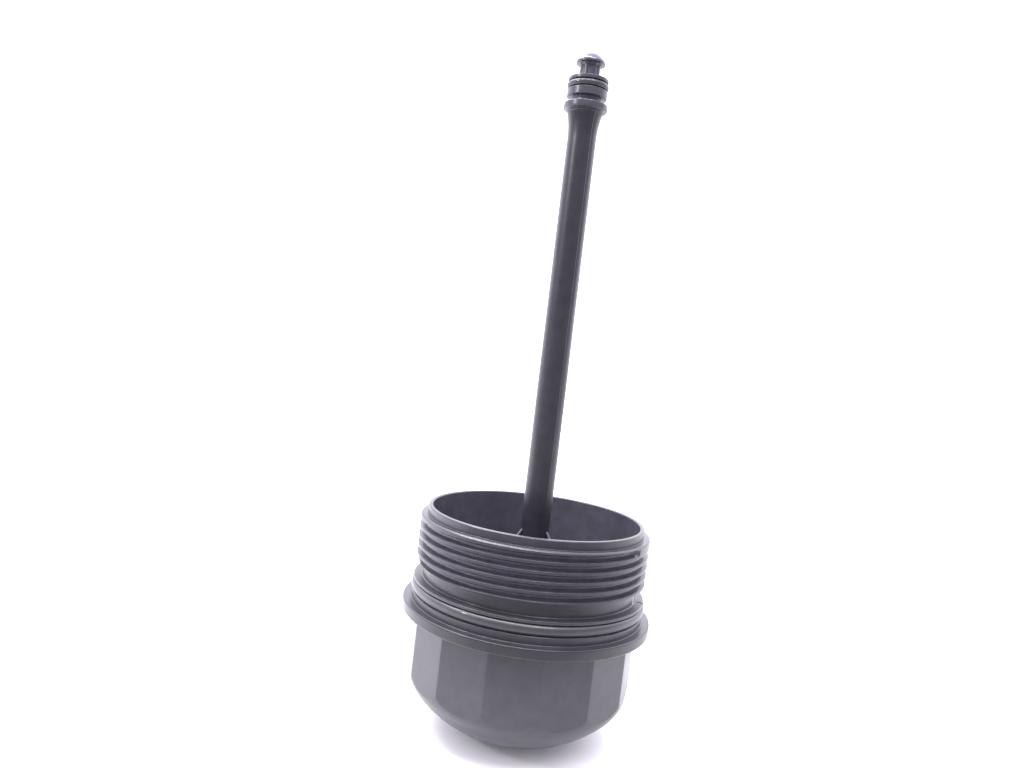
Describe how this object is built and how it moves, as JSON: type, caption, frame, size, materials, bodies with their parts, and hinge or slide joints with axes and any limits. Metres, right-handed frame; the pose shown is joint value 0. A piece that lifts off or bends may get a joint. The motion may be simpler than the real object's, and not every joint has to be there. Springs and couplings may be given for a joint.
{
  "type": "oil filter housing cap",
  "caption": "Moulded screw cap for an oil filter housing: threaded cup with sealing ring, flatted drive and domed end, and a long finned valve rod with a sealed spool tip.",
  "frame": {"origin": "centre of the flat foot that the cap stands on", "axes": "+Z along the cap's axis, from the domed end through the mouth to the rod's tip; one flat of the drive faces -Y"},
  "size_m": [0.0844, 0.0844, 0.231],
  "materials": {
    "cap_plastic": "satin, moulded charcoal plastic with glass fibre",
    "rod_plastic": "satin, moulded charcoal plastic with glass fibre",
    "seal_rubber": "lightly glossy black rubber"
  },
  "bodies": {
    "root": {"cap_body": "cap_plastic", "centre_rod": "rod_plastic", "cap_seal": "seal_rubber", "tip_seal": "seal_rubber"}
  },
  "joints": []
}
